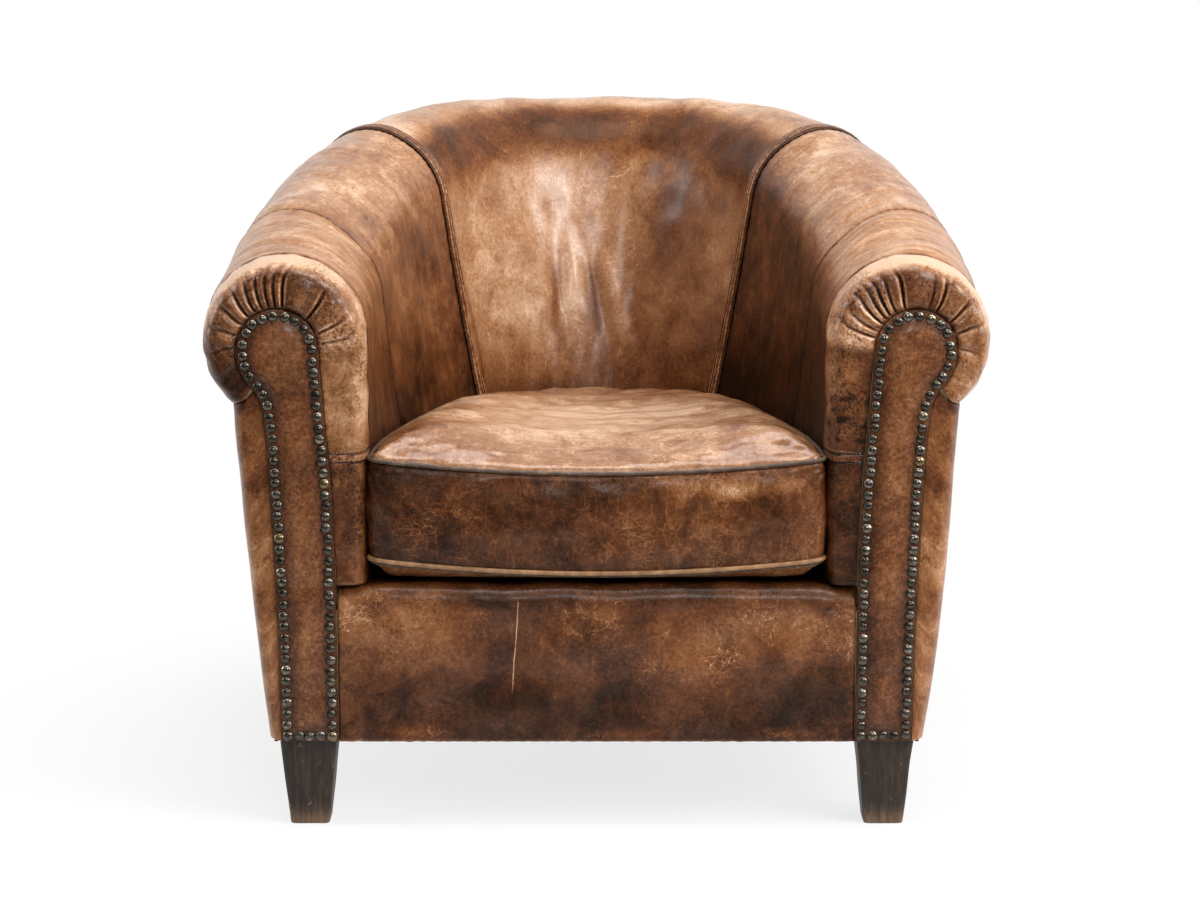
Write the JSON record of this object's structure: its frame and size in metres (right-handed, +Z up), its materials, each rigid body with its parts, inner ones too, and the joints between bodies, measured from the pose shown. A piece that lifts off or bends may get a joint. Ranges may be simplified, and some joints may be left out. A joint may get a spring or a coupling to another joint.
{
  "type": "club chair",
  "caption": "Worn leather tub chair with scroll arms, gathered arm fronts, nailed facings, a loose welted seat cushion and square tapered legs.",
  "frame": {"origin": "on the floor under the middle of the bounding box", "axes": "+Z up, the chair faces -Y, +X to its left as it faces (the viewer's right); the same left and right of X = 0"},
  "size_m": [0.8492, 0.7508, 0.7716],
  "materials": {
    "tan_leather": "waxed, worn to a gloss",
    "brown_leather": "waxed, creased",
    "cushion_leather": "waxed, crackled",
    "dark_leather": "mottled, scuffed",
    "welt_leather": "matt",
    "nailed_leather": "smooth",
    "nail_brass": "aged, dark",
    "foam": "open foam and wadding",
    "hardboard": "plain board",
    "beech": "sawn",
    "dark_wood": "stained, scuffed",
    "steel": "zinc plated",
    "jute": "woven webbing",
    "deck_cloth": "plain lining cloth",
    "black_cloth": "thin lining cloth"
  },
  "bodies": {
    "root": {"arm_facing_left": "nailed_leather", "arm_facing_right": "nailed_leather", "arm_front_band_left": "brown_leather", "arm_front_band_right": "brown_leather", "arm_roll_pad_left": "foam", "arm_roll_pad_right": "foam", "arm_top_rail_left": "beech", "arm_top_rail_right": "beech", "back_liner": "hardboard", "back_pad": "foam", "back_post_left": "beech", "back_post_right": "beech", "back_rail": "beech", "back_roll_pad": "foam", "back_seam_strip_left": "welt_leather", "back_seam_strip_right": "welt_leather", "back_top_rail": "beech", "cross_strap_1": "jute", "cross_strap_2": "jute", "cushion_welt_bottom": "welt_leather", "cushion_welt_top": "welt_leather", "deck_cover": "deck_cloth", "deck_pad": "foam", "dust_cover": "black_cloth", "front_corner_block_left": "beech", "front_corner_block_right": "beech", "front_leg_bolt_left": "steel", "front_leg_bolt_right": "steel", "front_leg_left": "dark_wood", "front_leg_right": "dark_wood", "front_post_left": "beech", "front_post_right": "beech", "front_rail": "beech", "front_rail_cover": "dark_leather", "inside_arm_left": "tan_leather", "inside_arm_right": "tan_leather", "inside_back": "tan_leather", "inside_wing_left": "tan_leather", "inside_wing_right": "tan_leather", "long_strap_1": "jute", "long_strap_2": "jute", "long_strap_3": "jute", "outside_arm_left": "brown_leather", "outside_arm_right": "brown_leather", "outside_back": "brown_leather", "rail_edge_pad": "foam", "rear_corner_block_left": "beech", "rear_corner_block_right": "beech", "rear_leg_bolt_left": "steel", "rear_leg_bolt_right": "steel", "rear_leg_left": "dark_wood", "rear_leg_right": "dark_wood", "seat_cushion": "cushion_leather", "side_liner_left": "hardboard", "side_liner_right": "hardboard", "side_pad_left": "foam", "side_pad_right": "foam", "side_rail_left": "beech", "side_rail_right": "beech"}
  },
  "joints": []
}
